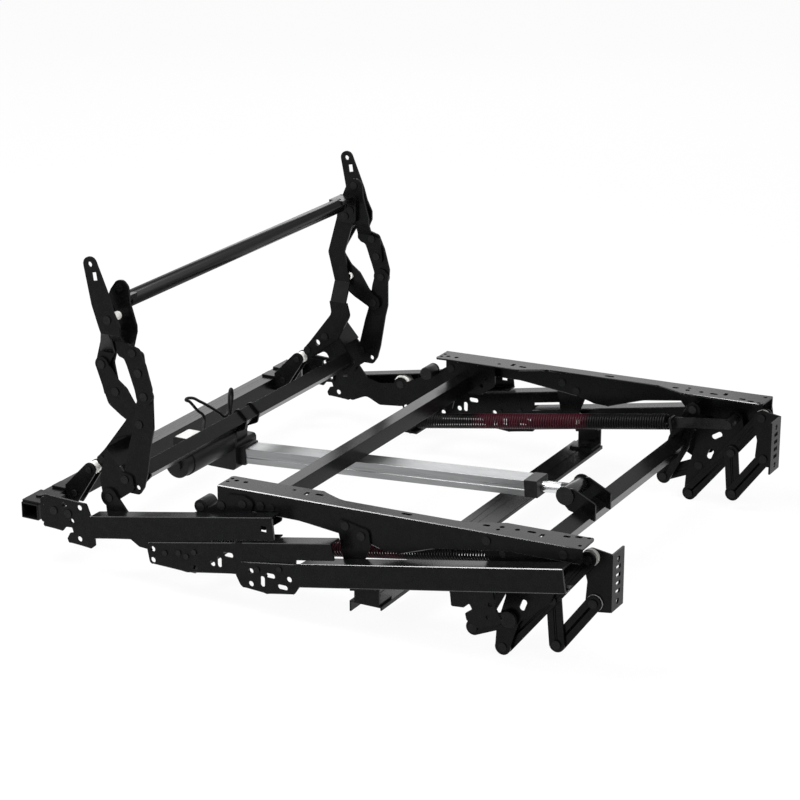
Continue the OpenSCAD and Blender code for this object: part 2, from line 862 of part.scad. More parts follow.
module lift_pins() {
    color([0.7, 0.71, 0.73])
    place()
    both() {
        pin(long_low, pin_r, long_x - 0.35 - head_t, lift_x + link_t + head_t / 2);
        pin(long_low, head_r, long_x - 0.35 - head_t, long_x - 0.35);
        pin(long_low, head_r, long_x + link_t + 0.35, lift_x);
        pin(long_low, head_r, lift_x + link_t, lift_x + link_t + head_t / 2);
        pin(pair_hole, pin_r, lift_x - head_t / 2, short_x + link_t + 0.35 + head_t);
        pin(pair_hole, head_r, lift_x - head_t / 2, lift_x);
        pin(pair_hole, head_r, lift_x + link_t, short_x - 0.35);
        pin(pair_hole, pin_r + pair_slip + 2, short_x + link_t + 0.35, short_x + link_t + 0.35 + head_t);
    }
}

pair_slip = 4;

module short_links() {
    color([0.08, 0.08, 0.09])
    place()
    both()
    difference() {
        union() {
            bone(crank_end, pair_hole, link_r, short_x, link_t);
            pin(pair_hole, pin_r + pair_slip + 2.5, short_x, short_x + link_t);
        }
        pin(crank_end, hole_r, short_x - 1, short_x + link_t + 1);
        pin(pair_hole, pin_r + pair_slip, short_x - 1, short_x + link_t + 1);
    }
}

module long_links() {
    color([0.08, 0.08, 0.09])
    place()
    both()
    difference() {
        bone(long_low, long_top, link_r, long_x, link_t);
        for (p = [long_low, long_mid, long_top])
            pin(p, hole_r, long_x - 1, long_x + link_t + 1);
    }
}

module long_pins() {
    color([0.7, 0.71, 0.73])
    place()
    both() {
        pin(long_mid, pin_r, front_x - 0.35 - head_t, long_x + link_t + head_t);
        pin(long_mid, head_r, front_x - 0.35 - head_t, front_x - 0.35);
        pin(long_mid, head_r, long_x + link_t, long_x + link_t + head_t);
        pin(long_top, pin_r, foot_x - 0.35 - head_t, long_x + link_t + head_t);
        pin(long_top, head_r, foot_x - 0.35 - head_t, foot_x - 0.35);
        pin(long_top, head_r, foot_x + rail_t + 0.35, long_x);
        pin(long_top, head_r, long_x + link_t, long_x + link_t + head_t);
    }
}

module front_links() {
    color([0.08, 0.08, 0.09])
    place()
    both()
    difference() {
        bone(long_mid, low_rear, link_r, front_x, link_t);
        for (p = [long_mid, low_rear])
            pin(p, hole_r, front_x - 1, front_x + link_t + 1);
    }
}

module lower_links() {
    color([0.08, 0.08, 0.09])
    place()
    both()
    difference() {
        bone(low_rear, low_front, link_r, lower_x, link_t);
        for (p = [low_rear, low_front])
            pin(p, hole_r, lower_x - 1, lower_x + link_t + 1);
    }
}

module lower_pins() {
    color([0.7, 0.71, 0.73])
    place()
    both() {
        pin(low_rear, pin_r, lower_x - head_t, front_x + link_t + 0.35 + head_t);
        pin(low_rear, head_r, lower_x - head_t, lower_x);
        pin(low_rear, head_r, front_x + link_t + 0.35, front_x + link_t + 0.35 + head_t);
        pin(low_front, pin_r, foot_x - 0.35 - head_t, lower_x + link_t + head_t);
        pin(low_front, head_r, foot_x - 0.35 - head_t, foot_x - 0.35);
        pin(low_front, head_r, foot_x + rail_t + 0.35, lower_x);
        pin(low_front, head_r, lower_x + link_t, lower_x + link_t + head_t);
    }
}

foot_holes = [-12, -64];

module footrest_brackets() {
    color([0.08, 0.08, 0.09])
    place()
    both()
    difference() {
        union() {
            sheet(foot_x, rail_t, [[foot_front, -2, 2], [-482, 2, 6], [-472, -4, 6], [-472, -20, 10],
                [-478, -40, 10], [-476, -66, 8], [-488, -76, 8], [foot_front, -73, 2]]);
            translate([foot_x - 30, foot_front, -73])
                cube([30 + rail_t, rail_t, 71]);
        }
        pin(long_top, hole_r, foot_x - 1, foot_x + rail_t + 1);
        pin(low_front, hole_r, foot_x - 1, foot_x + rail_t + 1);
        for (z = foot_holes)
            translate([foot_x - 14, foot_front - 1, z])
                rotate([-90, 0, 0])
                    cylinder(r = fix_r, h = rail_t + 2);
        for (z = [-22, -32, -42, -52])
            translate([foot_x - 20, foot_front - 1, z - 2.5])
                cube([12, rail_t + 2, 5]);
    }
}

module at_act() {
    translate([act_x, act_start[0], act_start[1]])
        rotate([-act_slope, 0, 0])
            children();
}

gear_y = [141, 191];
gear_z = [-95, -57];
cap_len = 18;
socket_turn = 28;
socket_out = 22.5;
cap_end = act_len - 43;
profile_start = 14;

socket_at = 20;
cover_y = [motor_c[0] + 4, motor_c[0] + 32];
cover_top = motor_c[1] + motor_r + 1;

module motor() {
    color([0.05, 0.05, 0.055])
    place() {
        translate([act_x - 26, motor_c[0], motor_c[1]])
            rotate([0, -90, 0]) {
                cylinder(r = motor_r, h = 96);
                translate([0, 0, 96])
                    cylinder(r = motor_r - 1.5, h = 14);
                translate([0, 0, 110])
                    cylinder(r = 7, h = 4);
                rotate([0, 0, socket_turn])
                    translate([motor_r - 4, -7, socket_at])
                        cube([socket_out - motor_r + 4, 14, 18]);
            }
        sheet(act_x - 26 - socket_at - 50, 36, [[cover_y[0], motor_c[1]], [cover_y[0], cover_top, 3],
            [cover_y[1], cover_top, 3], [cover_y[1], motor_c[1], 3]]);
    }
}

module gearbox() {
    color([0.06, 0.06, 0.065])
    place()
    difference() {
        union() {
            sheet(act_x - 26, 52, [[gear_y[0], gear_z[0], 6], [gear_y[1], gear_z[0], 8],
                [gear_y[1], gear_z[1] - 6, 8], [gear_y[1] - 10, gear_z[1], 5], [gear_y[0], gear_z[1], 5]]);
            sheet(act_x - 26, 6, [[gear_y[0], gear_z[1] - 6], [gear_y[1], gear_z[1] - 6],
                [motor_c[0] + 16, motor_c[1] + 14, 8], [motor_c[0] - 16, motor_c[1] + 14, 8]]);
            sheet(act_x - 13.5, 27, [[back_pivot[0] - 11, gear_z[1] - 1],
                [back_pivot[0] + 11, gear_z[1] - 1],
                [back_pivot[0] + 11, back_pivot[1]], [back_pivot[0] - 11, back_pivot[1]]]);
            pin(back_pivot, 11, act_x - 13.5, act_x + 13.5);
            at_act()
                translate([-18, -30, -12])
                    cube([36, 20, 24]);
        }
        pin(back_pivot, hole_r, act_x - 30, act_x + 30);
        at_act()
            translate([-profile_w / 2, -act_len, -profile_h / 2])
                cube([profile_w, act_len - profile_start, profile_h]);
        at_act()
            rotate([90, 0, 0])
                cylinder(r = spindle_d / 2 + pin_clear, h = 40, center = true);
    }
}

module actuator_profile() {
    color([0.75, 0.76, 0.78])
    place()
    at_act()
    difference() {
        translate([-profile_w / 2, -cap_end + cap_len, -profile_h / 2])
            cube([profile_w, cap_end - cap_len - profile_start, profile_h]);
        translate([-profile_w / 2 + profile_wall, -cap_end, -profile_h / 2 + profile_wall])
            cube([profile_w - 2 * profile_wall, cap_end, profile_h - 2 * profile_wall]);
        for (s = [-1, 1])
            translate([s * profile_w / 2 - 0.4, -cap_end, -2])
                cube([0.8, cap_end, 4]);
    }
}

module profile_cap() {
    color([0.05, 0.05, 0.055])
    place()
    at_act()
    difference() {
        union() {
            translate([-profile_w / 2 - 1, -cap_end, -profile_h / 2 - 1])
                cube([profile_w + 2, cap_len, profile_h + 2]);
            translate([-profile_w / 2 + profile_wall + 0.05, -cap_end, -profile_h / 2 + profile_wall + 0.05])
                cube([profile_w - 2 * profile_wall - 0.1, cap_len + 10, profile_h - 2 * profile_wall - 0.1]);
        }
        rotate([90, 0, 0])
            cylinder(r = rod_d / 2 + 0.05, h = act_len + 10);
    }
}

module spindle() {
    color([0.7, 0.71, 0.73])
    place()
    at_act()
        rotate([90, 0, 0])
            translate([0, 0, -8])
                cylinder(r = spindle_d / 2, h = cap_end - 50);
}

rod_in = 150;
eye_r = 10;
eye_w = ear_gap - 2;

module push_rod() {
    color([0.78, 0.79, 0.81])
    place()
    at_act()
    difference() {
        union() {
            translate([0, -act_len, 0])
                rotate([-90, 0, 0])
                    cylinder(r = rod_d / 2, h = rod_in);
            translate([-eye_w / 2, -act_len, 0])
                rotate([0, 90, 0])
                    cylinder(r = eye_r, h = eye_w);
            translate([-profile_w / 2 + profile_wall + 0.1, -act_len + rod_in - 12,
                -profile_h / 2 + profile_wall + 0.1])
                cube([profile_w - 2 * profile_wall - 0.2, 12, profile_h - 2 * profile_wall - 0.2]);
        }
        translate([-eye_w / 2 - 1, -act_len, 0])
            rotate([0, 90, 0])
                cylinder(r = hole_r, h = eye_w + 2);
        translate([0, -act_len + 40, 0])
            rotate([-90, 0, 0])
                cylinder(r = spindle_d / 2 + 0.1, h = rod_in);
    }
}

module eye_pin() {
    reach = ear_gap / 2 + link_t + 0.35;
    color([0.7, 0.71, 0.73])
    place() {
        pin(rod_pivot, pin_r, act_x - reach - head_t, act_x + reach + head_t);
        for (x = [act_x - reach - head_t, act_x + reach])
            pin(rod_pivot, pin_r + ear_slip + 1.5, x, x + head_t);
    }
}

lead_d = 4;
lead_exit = motor_c + socket_out * [sin(socket_turn), cos(socket_turn)];
lead_route = [[act_x - 35 - socket_at, lead_exit[0], lead_exit[1]],
    [-66, 175.8, -26.2], [-70, 178, -13], [-76, 177, 1], [-82, 178, 13], [-87, 179, 23], [-91, 172, 30],
    [-90, 155, 24], [-89, 138, 10], [-88, 126, 4], [-87, 117, 12], [-86, 111, 28], [-85, 108, 42],
    [-83, 113, 50], [-81, 120, 42], [-80, 122, 24], [-79, 123, 8], [-78.5, 123.2, -10], [-78, 123.2, -28],
    [-78, 125, -41], [-78, 130, -50], [-78, 135.5, -54], [-78, motor_c[0] - motor_r - 0.1, -54]];

function lead_dir(i) =
    i == 0 ? lead_route[1] - lead_route[0] :
    i == len(lead_route) - 1 ? lead_route[i] - lead_route[i - 1] :
    lead_route[i + 1] - lead_route[i - 1];
function lead_ring(i) =
    let (t = lead_dir(i) / norm(lead_dir(i)))
    let (n = cross(t, cross([1, 0, 0], t)) / norm(cross(t, [1, 0, 0])))
    let (b = cross(t, n))
    [for (k = [0 : 7]) lead_route[i] + lead_d / 2 * (cos(45 * k) * n + sin(45 * k) * b)];

module tube_mesh(rings) {
    m = len(rings[0]);
    n = len(rings);
    polyhedron(
        points = [for (r = rings) each r],
        faces = concat(
            [for (k = [1 : m - 2]) [0, k, k + 1]],
            [for (k = [1 : m - 2]) [(n - 1) * m, (n - 1) * m + k + 1, (n - 1) * m + k]],
            [for (i = [0 : n - 2]) for (k = [0 : m - 1])
                [i * m + k, (i + 1) * m + k, (i + 1) * m + (k + 1) % m]],
            [for (i = [0 : n - 2]) for (k = [0 : m - 1])
                [i * m + k, (i + 1) * m + (k + 1) % m, i * m + (k + 1) % m]]));
}

module motor_lead() {
    color([0.03, 0.03, 0.03])
    place()
        tube_mesh([for (i = [0 : len(lead_route) - 1]) lead_ring(i)]);
}

lug_bolts = [[155, 196], [152, 181]];

module lug_hole_pair(x0, x1) {
    for (p = lug_bolts)
        pin(p, rivet_hole, x0, x1);
}

module back_bar() {
    color([0.09, 0.09, 0.1])
    place()
    difference() {
        union() {
            pin(bar_c, bar_d / 2, -arm_top_x + 22, arm_top_x - 22);
            both() {
                translate([arm_top_x - 30, bar_c[0] - 11, bar_c[1] + 3])
                    cube([30, 22, 6]);
                sheet(arm_top_x - link_t, link_t, [[135, 210, 4], [163, 210, 4], [165, 172, 6],
                    [135, 172, 6]]);
            }
        }
        pin(bar_c, bar_d / 2 - tube_wall, -arm_top_x + 40, arm_top_x - 40);
        both() {
            lug_hole_pair(arm_top_x - 10, arm_top_x + 10);
            pin(spacer_w, rivet_hole, arm_top_x - 10, arm_top_x + 10);
        }
    }
}

arm_bolts = [[171, 8], [200, -16]];
arm_hole = [184, -3];

module inner_arms() {
    color([0.08, 0.08, 0.09])
    place()
    both()
    difference() {
        union() {
            sheet(arm_top_x, link_t, [[134, 212, 6], [166, 210, 6], [167, 178, 15], [181.8, 125, 8],
                [171.5, 84], [147, 84], [155.5, 127, 8], [143.5, 166, 15], [134, 182, 8]]);
            skew_joggle(arm_low_x, 62, [137, 161.5], arm_top_x, 84, [147, 171.5], link_t);
            sheet(arm_low_x, link_t, [[135, 62], [163, 62], [160, 44, 12], [197, -4, 8], [209, -18, 6],
                [198, -29, 6], [150, 8, 10], [130, 44, 12]]);
        }
        lug_hole_pair(arm_top_x - 10, arm_top_x + 10);
        for (p = arm_bolts)
            pin(p, rivet_hole, arm_low_x - 1, arm_low_x + link_t + 1);
        pin(arm_hole, 4.5, arm_low_x - 1, arm_low_x + link_t + 1);
        pin(spacer_w, rivet_hole, arm_top_x - 1, arm_top_x + link_t + 1);
    }
}

module lower_bar() {
    color([0.09, 0.09, 0.1])
    place()
        translate([0, low_bar_c[0], low_bar_c[1]])
            rotate([low_bar_tilt, 0, 0])
                tube_box(2 * (arm_low_x + link_t), low_bar, low_bar, tube_wall);
}

cheek_gap = 28;

module motor_hanger() {
    color([0.07, 0.07, 0.08])
    place()
    difference() {
        union() {
            for (x = [act_x - cheek_gap / 2 - link_t, act_x + cheek_gap / 2]) {
                sheet(x, link_t, [[128, -22, 4], [143, -8, 6], [158, -30], [168, -45], [148, -45],
                    [132, -38, 4]]);
                pin(back_pivot, 10, x, x + link_t);
            }
        }
        pin(back_pivot, hole_r, act_x - 30, act_x + 30);
        translate([0, low_bar_c[0], low_bar_c[1]])
            rotate([low_bar_tilt, 0, 0])
                translate([-60, -low_bar / 2, -low_bar / 2])
                    cube([120, low_bar, low_bar]);
    }
}

gusset_bolt = [135.4, -18.1];

module gussets() {
    color([0.08, 0.08, 0.09])
    place()
    both()
    difference() {
        union() {
            sheet(arm_low_x + link_t, link_t, [[160, 22, 5], [180, 14, 6], [209, -18, 6], [198, -29, 6],
                [172, -14, 6], [158, -38, 5], [140, -43, 5], [124, -26, 5], [138, -8, 3]]);
            strip([145, -4], [164, 17.6], link_t, arm_low_x + link_t, gus_x + link_t);
            sheet(gus_x, link_t, [[163, 17], [140, -9], [124, -12, 6], [122, -30, 6], [150, -50],
                [169, -48], [173, -24, 8]]);
            pin(back_pivot, 12, gus_x, gus_x + link_t);
        }
        for (p = arm_bolts)
            pin(p, rivet_hole, arm_low_x + 1, arm_low_x + 2 * link_t + 1);
        pin(arm_hole, 4.5, arm_low_x + 1, arm_low_x + 2 * link_t + 1);
        pin(back_pivot, hole_r, gus_x - 1, gus_x + link_t + 1);
        pin(gusset_bolt, rivet_hole, gus_x - 1, gus_x + link_t + 1);
    }
}

spacer_v = [150, 92];
spacer_w = [143.5, 190.3];
spacer_r = 5.2;
spacer_u = [113, 57];
leg_rivets = [[117.5, 148.7], [110, 124]];
eye_top = [166, 257];
eye_foot = [169.4, 124.2];
lug_top = [141, 225];
boss_t = [103, 95];

module bar_brackets() {
    color([0.08, 0.08, 0.09])
    place()
    both()
    difference() {
        union() {
            sheet(arm_top_x + link_t, link_t, [[161, 206, 10], [154, 222, 10], [145, 234, 8],
                [135, 235.5, 8], [128, 228, 8], [126.5, 208, 15], [118, 180], [118, 172], [140, 172],
                [142, 166, 3], [156, 166, 4], [163, 186, 8]]);
            joggle(leg_x, 154, arm_top_x + link_t, 172, link_t, 118, 140);
            sheet(leg_x, link_t, [[140, 154], [118, 154], [104, 150, 6], [100, 116, 6], [118, 113, 6],
                [128, 142, 8], [140, 146, 4]]);
        }
        lug_hole_pair(arm_top_x, arm_top_x + 10);
        for (p = [spacer_w, lug_top])
            pin(p, rivet_hole, arm_top_x, arm_top_x + 10);
        for (p = leg_rivets)
            pin(p, rivet_hole, leg_x - 1, leg_x + link_t + 1);
    }
}

module eye_plates() {
    color([0.08, 0.08, 0.09])
    place()
    both()
    difference() {
        union() {
            sheet(eye_x, link_t, [[157, 260], [139, 217, 20], [134, 200, 20], [126, 184, 8], [126, 172],
                [154, 172], [157, 180, 10], [166, 207, 40], [175.3, 255]]);
            pin(eye_top, 9.5, eye_x, eye_x + link_t);
            skew_joggle(eye_leg_x, 140, [152, 173], eye_x, 172, [142.5, 154], link_t);
            sheet(eye_leg_x, link_t, [[152, 140], [173, 140], [177.6, 126], [161.4, 122.5]]);
            pin(eye_foot, 8.5, eye_leg_x, eye_leg_x + link_t);
            joggle(gus_x, 160, eye_x, 172, link_t, 126, 142);
            sheet(gus_x, link_t, [[126, 160], [142, 160], [139, 142, 6], [130, 140, 6], [126, 131, 10],
                [116, 102, 10], [113, 88], [92, 92], [91, 106, 8], [99, 135, 15], [108, 155, 6]]);
            pin(boss_t, 11.5, gus_x, gus_x + link_t);
        }
        pin(eye_top, 3.4, eye_x - 1, eye_x + link_t + 1);
        sheet(eye_x - 1, link_t + 2, [[164.2, 247], [157.2, 248.4], [155.6, 238], [162.8, 236.6]]);
        pin(eye_foot, rivet_hole, eye_leg_x - 1, eye_leg_x + link_t + 1);
        pin(spacer_w, rivet_hole, eye_x - 1, eye_x + link_t + 1);
        for (p = concat(leg_rivets, [boss_t]))
            pin(p, rivet_hole, gus_x - 1, gus_x + link_t + 1);
    }
}

module front_arms() {
    color([0.08, 0.08, 0.09])
    place()
    both()
    difference() {
        union() {
            sheet(leg_x, link_t, [[92, 92], [92, 54, 15], [96, 38, 20], [104, -8, 20], [109, -26, 8],
                [116, -36, 5], [137, -36, 6], [141, -20, 8], [129, 28, 30], [121, 54], [117, 81, 15],
                [114, 92]]);
            pin(boss_t, 11.5, leg_x, leg_x + link_t);
            pin(spacer_u, 11, leg_x, leg_x + link_t);
        }
        pin(boss_t, rivet_hole, leg_x - 1, leg_x + link_t + 1);
        pin(spacer_u, rivet_hole, leg_x - 1, leg_x + link_t + 1);
        pin(gusset_bolt, rivet_hole, leg_x - 1, leg_x + link_t + 1);
        pin([118, -27], 3.2, leg_x - 1, leg_x + link_t + 1);
    }
}

module rear_links() {
    color([0.08, 0.08, 0.09])
    place()
    both()
    difference() {
        union() {
            sheet(rear_link_x, link_t, [[161, 127], [148.5, 108.9, 12], [134.2, 98.3, 8], [120.3, 76.8, 12],
                [104.5, 61], [121, 50.5], [143.2, 62.1, 10], [161.3, 74.4, 12], [178.2, 121]]);
            pin(eye_foot, 9.5, rear_link_x, rear_link_x + link_t);
            pin(spacer_u, 10.5, rear_link_x, rear_link_x + link_t);
        }
        for (p = [eye_foot, spacer_u, spacer_v])
            pin(p, rivet_hole, rear_link_x - 1, rear_link_x + link_t + 1);
    }
}

module nylon_spacers() {
    color([0.88, 0.87, 0.83])
    place()
    both()
    difference() {
        union() {
            pin(spacer_v, spacer_r, arm_top_x + link_t, rear_link_x);
            pin(spacer_w, spacer_r, arm_top_x + 2 * link_t, eye_x);
            pin(spacer_u, spacer_r, rear_link_x + link_t, leg_x);
        }
        for (p = [spacer_v, spacer_w, spacer_u])
            pin(p, rivet_hole, leg_x - 60, eye_x + 10);
    }
}

module back_bolts() {
    color([0.62, 0.63, 0.65])
    place() {
        both() {
            for (p = lug_bolts)
                rivet(p, arm_top_x - link_t, arm_top_x + 2 * link_t);
            rivet(lug_top, arm_top_x + link_t, arm_top_x + 2 * link_t);
            for (p = arm_bolts)
                rivet(p, arm_low_x, arm_low_x + 2 * link_t);
            for (p = concat(leg_rivets, [boss_t]))
                rivet(p, leg_x, gus_x + link_t);
            rivet(gusset_bolt, leg_x, gus_x + link_t);
            pin(eye_foot, rivet_r, eye_leg_x, rear_link_x + link_t + head_t - 0.5);
            pin(eye_foot, rivet_r * 1.8, rear_link_x + link_t, rear_link_x + link_t + head_t - 0.5);
            pin(spacer_v, rivet_r, arm_top_x + link_t, rear_link_x + link_t + head_t - 0.5);
            pin(spacer_v, rivet_r * 1.8, rear_link_x + link_t, rear_link_x + link_t + head_t - 0.5);
            rivet(spacer_w, arm_top_x - link_t, eye_x + link_t);
            rivet(spacer_u, rear_link_x, leg_x + link_t);
            pin(back_pivot, pin_r, gus_x - head_t, carrier_x + link_t + 0.35 + 0.8);
            pin(back_pivot, head_r, gus_x - head_t, gus_x);
            pin(back_pivot, head_r, carrier_x + link_t + 0.35, carrier_x + link_t + 0.35 + 0.8);
        }
        pin(back_pivot, pin_r, act_x - cheek_gap / 2 - link_t - head_t,
            act_x + cheek_gap / 2 + link_t + head_t);
        for (x = [act_x - cheek_gap / 2 - link_t - head_t, act_x + cheek_gap / 2 + link_t])
            pin(back_pivot, head_r - 1, x, x + head_t);
    }
}

coil_r = (spring_d - wire_d) / 2;
tail = 2 * wire_d;
coil_len = spring_len - 2 * tail - 0.7;
pitch = coil_len / spring_turns;
steps = 8;

function coil_point(a) = [coil_r * cos(a), coil_r * sin(a), tail + pitch * a / 360];
function coil_ring(i) =
    let (a = 360 * i / steps)
    let (n = [cos(a), sin(a), 0])
    let (t = [-sin(a) * coil_r, cos(a) * coil_r, pitch / (2 * PI)])
    let (b = cross(t / norm(t), n))
    [for (k = [0 : 5]) coil_point(a) + wire_d / 2 * (cos(60 * k) * n + sin(60 * k) * b)];
function tail_ring(a, z) =
    let (n = [cos(a), sin(a), 0])
    let (b = cross([0, 0, 1], n))
    [for (k = [0 : 5])
        [coil_r * cos(a), coil_r * sin(a), z] + wire_d / 2 * (cos(60 * k) * n + sin(60 * k) * b)];

spring_gap = pitch * cos(atan2(pitch, 2 * PI * coil_r)) - wire_d;
echo(spring_gap = spring_gap);

module return_spring() {
    color([0.06, 0.05, 0.055])
    translate([spring_x, spring_a[0], spring_a[1]])
        rotate([90 - spring_slope, 0, 0])
            rotate([0, 0, 180])
            tube_mesh(concat([tail_ring(0, 0), tail_ring(0, wire_d)],
                [for (i = [1 : spring_turns * steps - 1]) coil_ring(i)],
                [tail_ring(0, spring_len - wire_d), tail_ring(0, spring_len)]));
}

module return_spring_l() {
    place()
        return_spring();
}

module return_spring_r() {
    place()
        mirror([1, 0, 0])
            return_spring();
}

rear_channel_l();
rear_channel_r();
middle_channels();
front_channel_l();
front_channel_r();
hook_plates();
base_rivets();
rear_tube();
tube_saddles();
base_crossbar();
crossbar_risers();
spring_anchors();
seat_rail_l();
seat_rail_r();
pivot_plates();
seat_crossbar();
crossbar_brackets();
carrier_arms();
roller_hangers();
seat_rivets();
pivot_pins();
stop_rollers();
spring_clips();
rear_rollers();
front_rollers();
drive_tube();
crank_arms();
clevis_ears();
drive_screws();
crank_pins();
lift_plates();
lift_pins();
short_links();
long_links();
long_pins();
front_links();
lower_links();
lower_pins();
footrest_brackets();
motor();
gearbox();
actuator_profile();
profile_cap();
spindle();
push_rod();
eye_pin();
motor_lead();
back_bar();
inner_arms();
lower_bar();
motor_hanger();
gussets();
bar_brackets();
eye_plates();
front_arms();
rear_links();
nylon_spacers();
back_bolts();
return_spring_l();
return_spring_r();
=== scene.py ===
import json
import math

import bmesh
import bpy
from mathutils import Matrix, Vector


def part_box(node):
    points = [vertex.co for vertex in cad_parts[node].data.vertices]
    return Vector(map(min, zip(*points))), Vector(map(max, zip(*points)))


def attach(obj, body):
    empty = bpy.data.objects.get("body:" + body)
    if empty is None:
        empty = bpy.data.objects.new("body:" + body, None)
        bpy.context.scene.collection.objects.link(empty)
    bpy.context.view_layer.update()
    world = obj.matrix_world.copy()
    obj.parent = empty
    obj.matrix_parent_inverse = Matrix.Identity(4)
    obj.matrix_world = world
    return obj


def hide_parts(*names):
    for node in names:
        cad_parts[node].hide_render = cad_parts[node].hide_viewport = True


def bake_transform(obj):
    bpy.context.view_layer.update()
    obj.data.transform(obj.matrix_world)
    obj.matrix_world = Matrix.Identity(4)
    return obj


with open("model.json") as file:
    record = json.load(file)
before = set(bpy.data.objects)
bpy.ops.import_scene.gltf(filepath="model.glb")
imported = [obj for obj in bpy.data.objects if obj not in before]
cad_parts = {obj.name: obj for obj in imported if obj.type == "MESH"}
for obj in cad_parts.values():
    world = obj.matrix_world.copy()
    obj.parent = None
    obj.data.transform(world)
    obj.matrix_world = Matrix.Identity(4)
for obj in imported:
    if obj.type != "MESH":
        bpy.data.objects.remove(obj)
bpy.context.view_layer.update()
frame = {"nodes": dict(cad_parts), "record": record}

nodes = frame["nodes"]

# Measuring frame in millimetres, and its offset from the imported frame
TUBE_TOP = -66
SHIFT_Y = 115.25
SHIFT_Z = round(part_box("rear_tube")[1][2] * 1000 - TUBE_TOP, 3)


def row(x, y, z):
    """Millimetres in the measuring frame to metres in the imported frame."""
    return Vector((x / 1000, (y + SHIFT_Y) / 1000, (z + SHIFT_Z) / 1000))


def new_object(name, data):
    obj = bpy.data.objects.new(name, data)
    bpy.context.collection.objects.link(obj)
    return obj


# Camera, solved from the straight edges in the photo
PHOTO_PIXELS = 800
FOCAL_PIXELS = 2497
SENSOR = 36
CAMERA_X = -2.66746
CAMERA_Y = -1.43116
CAMERA_Z = 1.08360
AZIMUTH = 298.66
ELEVATION = 19.08

cam_data = bpy.data.cameras.new("camera")
cam_data.sensor_width = SENSOR
cam_data.lens = SENSOR * FOCAL_PIXELS / PHOTO_PIXELS
cam_data.clip_end = 50
cam = new_object("camera", cam_data)
cam.location = (CAMERA_X, CAMERA_Y, CAMERA_Z + SHIFT_Z / 1000)
cam.rotation_euler = (math.radians(90 - ELEVATION), 0, math.radians(AZIMUTH))
bpy.context.scene.camera = cam

# Materials
BROAD_SCALE = 0.12
BUMP_DEPTH = 0.0002


def new_material(name):
    material = bpy.data.materials.new(name)
    material.use_nodes = True
    tree = material.node_tree
    return material, tree, tree.nodes["Principled BSDF"]


def add(tree, kind, **values):
    """A new node. Each value sets the node's property of that name, or else its input."""
    node = tree.nodes.new(kind)
    for key, value in values.items():
        if hasattr(node, key):
            setattr(node, key, value)
        else:
            node.inputs[key].default_value = value
    return node


def grey(value):
    return (value, value, value)


def ramp(tree, source, stops):
    node = tree.nodes.new("ShaderNodeValToRGB")
    elements = node.color_ramp.elements
    while len(elements) < len(stops):
        elements.new(0.5)
    for element, (position, colour) in zip(elements, stops):
        element.position = position
        element.color = (*colour, 1)
    tree.links.new(source, node.inputs["Fac"])
    return node


def along_y(tree):
    """0 to 1 from the front to the rear end of the object."""
    place = tree.nodes.new("ShaderNodeTexCoord")
    split = tree.nodes.new("ShaderNodeSeparateXYZ")
    tree.links.new(place.outputs["Generated"], split.inputs["Vector"])
    return split.outputs["Y"]


def surface(name, dark, light, rough, rough_span, scale, bump,
            metallic=0.0, specular=0.5, stretch=(1, 1, 1)):
    """Mottled colour, varied roughness and a fine bump from two scales of noise."""
    material, tree, shader = new_material(name)
    place = tree.nodes.new("ShaderNodeTexCoord")
    mapping = add(tree, "ShaderNodeMapping", Scale=stretch)
    tree.links.new(place.outputs["Object"], mapping.inputs["Vector"])
    broad = add(tree, "ShaderNodeTexNoise", Scale=scale * BROAD_SCALE, Detail=4.0, Roughness=0.6)
    fine = add(tree, "ShaderNodeTexNoise", Scale=scale, Detail=6.0, Roughness=0.65)
    for noise in (broad, fine):
        tree.links.new(mapping.outputs["Vector"], noise.inputs["Vector"])
    colour = ramp(tree, broad.outputs["Fac"], [(0.32, dark), (0.7, light)])
    tree.links.new(colour.outputs["Color"], shader.inputs["Base Color"])
    smoothest = grey(rough - rough_span)
    roughest = grey(rough + rough_span)
    gloss = ramp(tree, fine.outputs["Fac"], [(0.3, smoothest), (0.7, roughest)])
    tree.links.new(gloss.outputs["Color"], shader.inputs["Roughness"])
    grain = add(tree, "ShaderNodeBump", Strength=bump, Distance=BUMP_DEPTH)
    tree.links.new(fine.outputs["Fac"], grain.inputs["Height"])
    tree.links.new(grain.outputs["Normal"], shader.inputs["Normal"])
    shader.inputs["Metallic"].default_value = metallic
    shader.inputs["Specular IOR Level"].default_value = specular
    return material


coat = surface("coated_steel", dark=(0.002, 0.002, 0.0022), light=(0.0036, 0.0037, 0.004),
               rough=0.27, rough_span=0.03, scale=900, bump=0.02, specular=0.09)
coat_link = surface("coated_link", dark=(0.0018, 0.0018, 0.002), light=(0.0034, 0.0034, 0.0037),
                    rough=0.26, rough_span=0.03, scale=800, bump=0.02, specular=0.09)
coat_tube = surface("coated_tube", dark=(0.002, 0.002, 0.0022), light=(0.004, 0.004, 0.0043),
                    rough=0.24, rough_span=0.03, scale=800, bump=0.02, specular=0.12)
# Fold bevels: their lighter base colour is a painted highlight along the bends. Their higher specular is real
# gloss.
bend_highlight = surface("coated_bend_painted_highlight", dark=(0.01, 0.01, 0.0105), light=(0.02, 0.02, 0.021),
               rough=0.2, rough_span=0.03, scale=700, bump=0.02, specular=0.6)
rivet = surface("rivet_steel", dark=(0.0025, 0.0025, 0.0027), light=(0.006, 0.006, 0.0065),
                rough=0.25, rough_span=0.05, scale=700, bump=0.04, specular=0.13)
steel = surface("pin_steel", dark=(0.003, 0.003, 0.0033), light=(0.008, 0.008, 0.0085),
                rough=0.25, rough_span=0.05, scale=900, bump=0.04, specular=0.18)
alu = surface("profile_aluminium", dark=(0.25, 0.254, 0.258), light=(0.31, 0.314, 0.318),
              rough=0.34, rough_span=0.06, scale=1500, bump=0.08, metallic=1.0, stretch=(1, 0.02, 1))
plastic = surface("black_plastic", dark=(0.003, 0.003, 0.0033), light=(0.006, 0.006, 0.0065),
                  rough=0.42, rough_span=0.08, scale=1200, bump=0.3, specular=0.2)
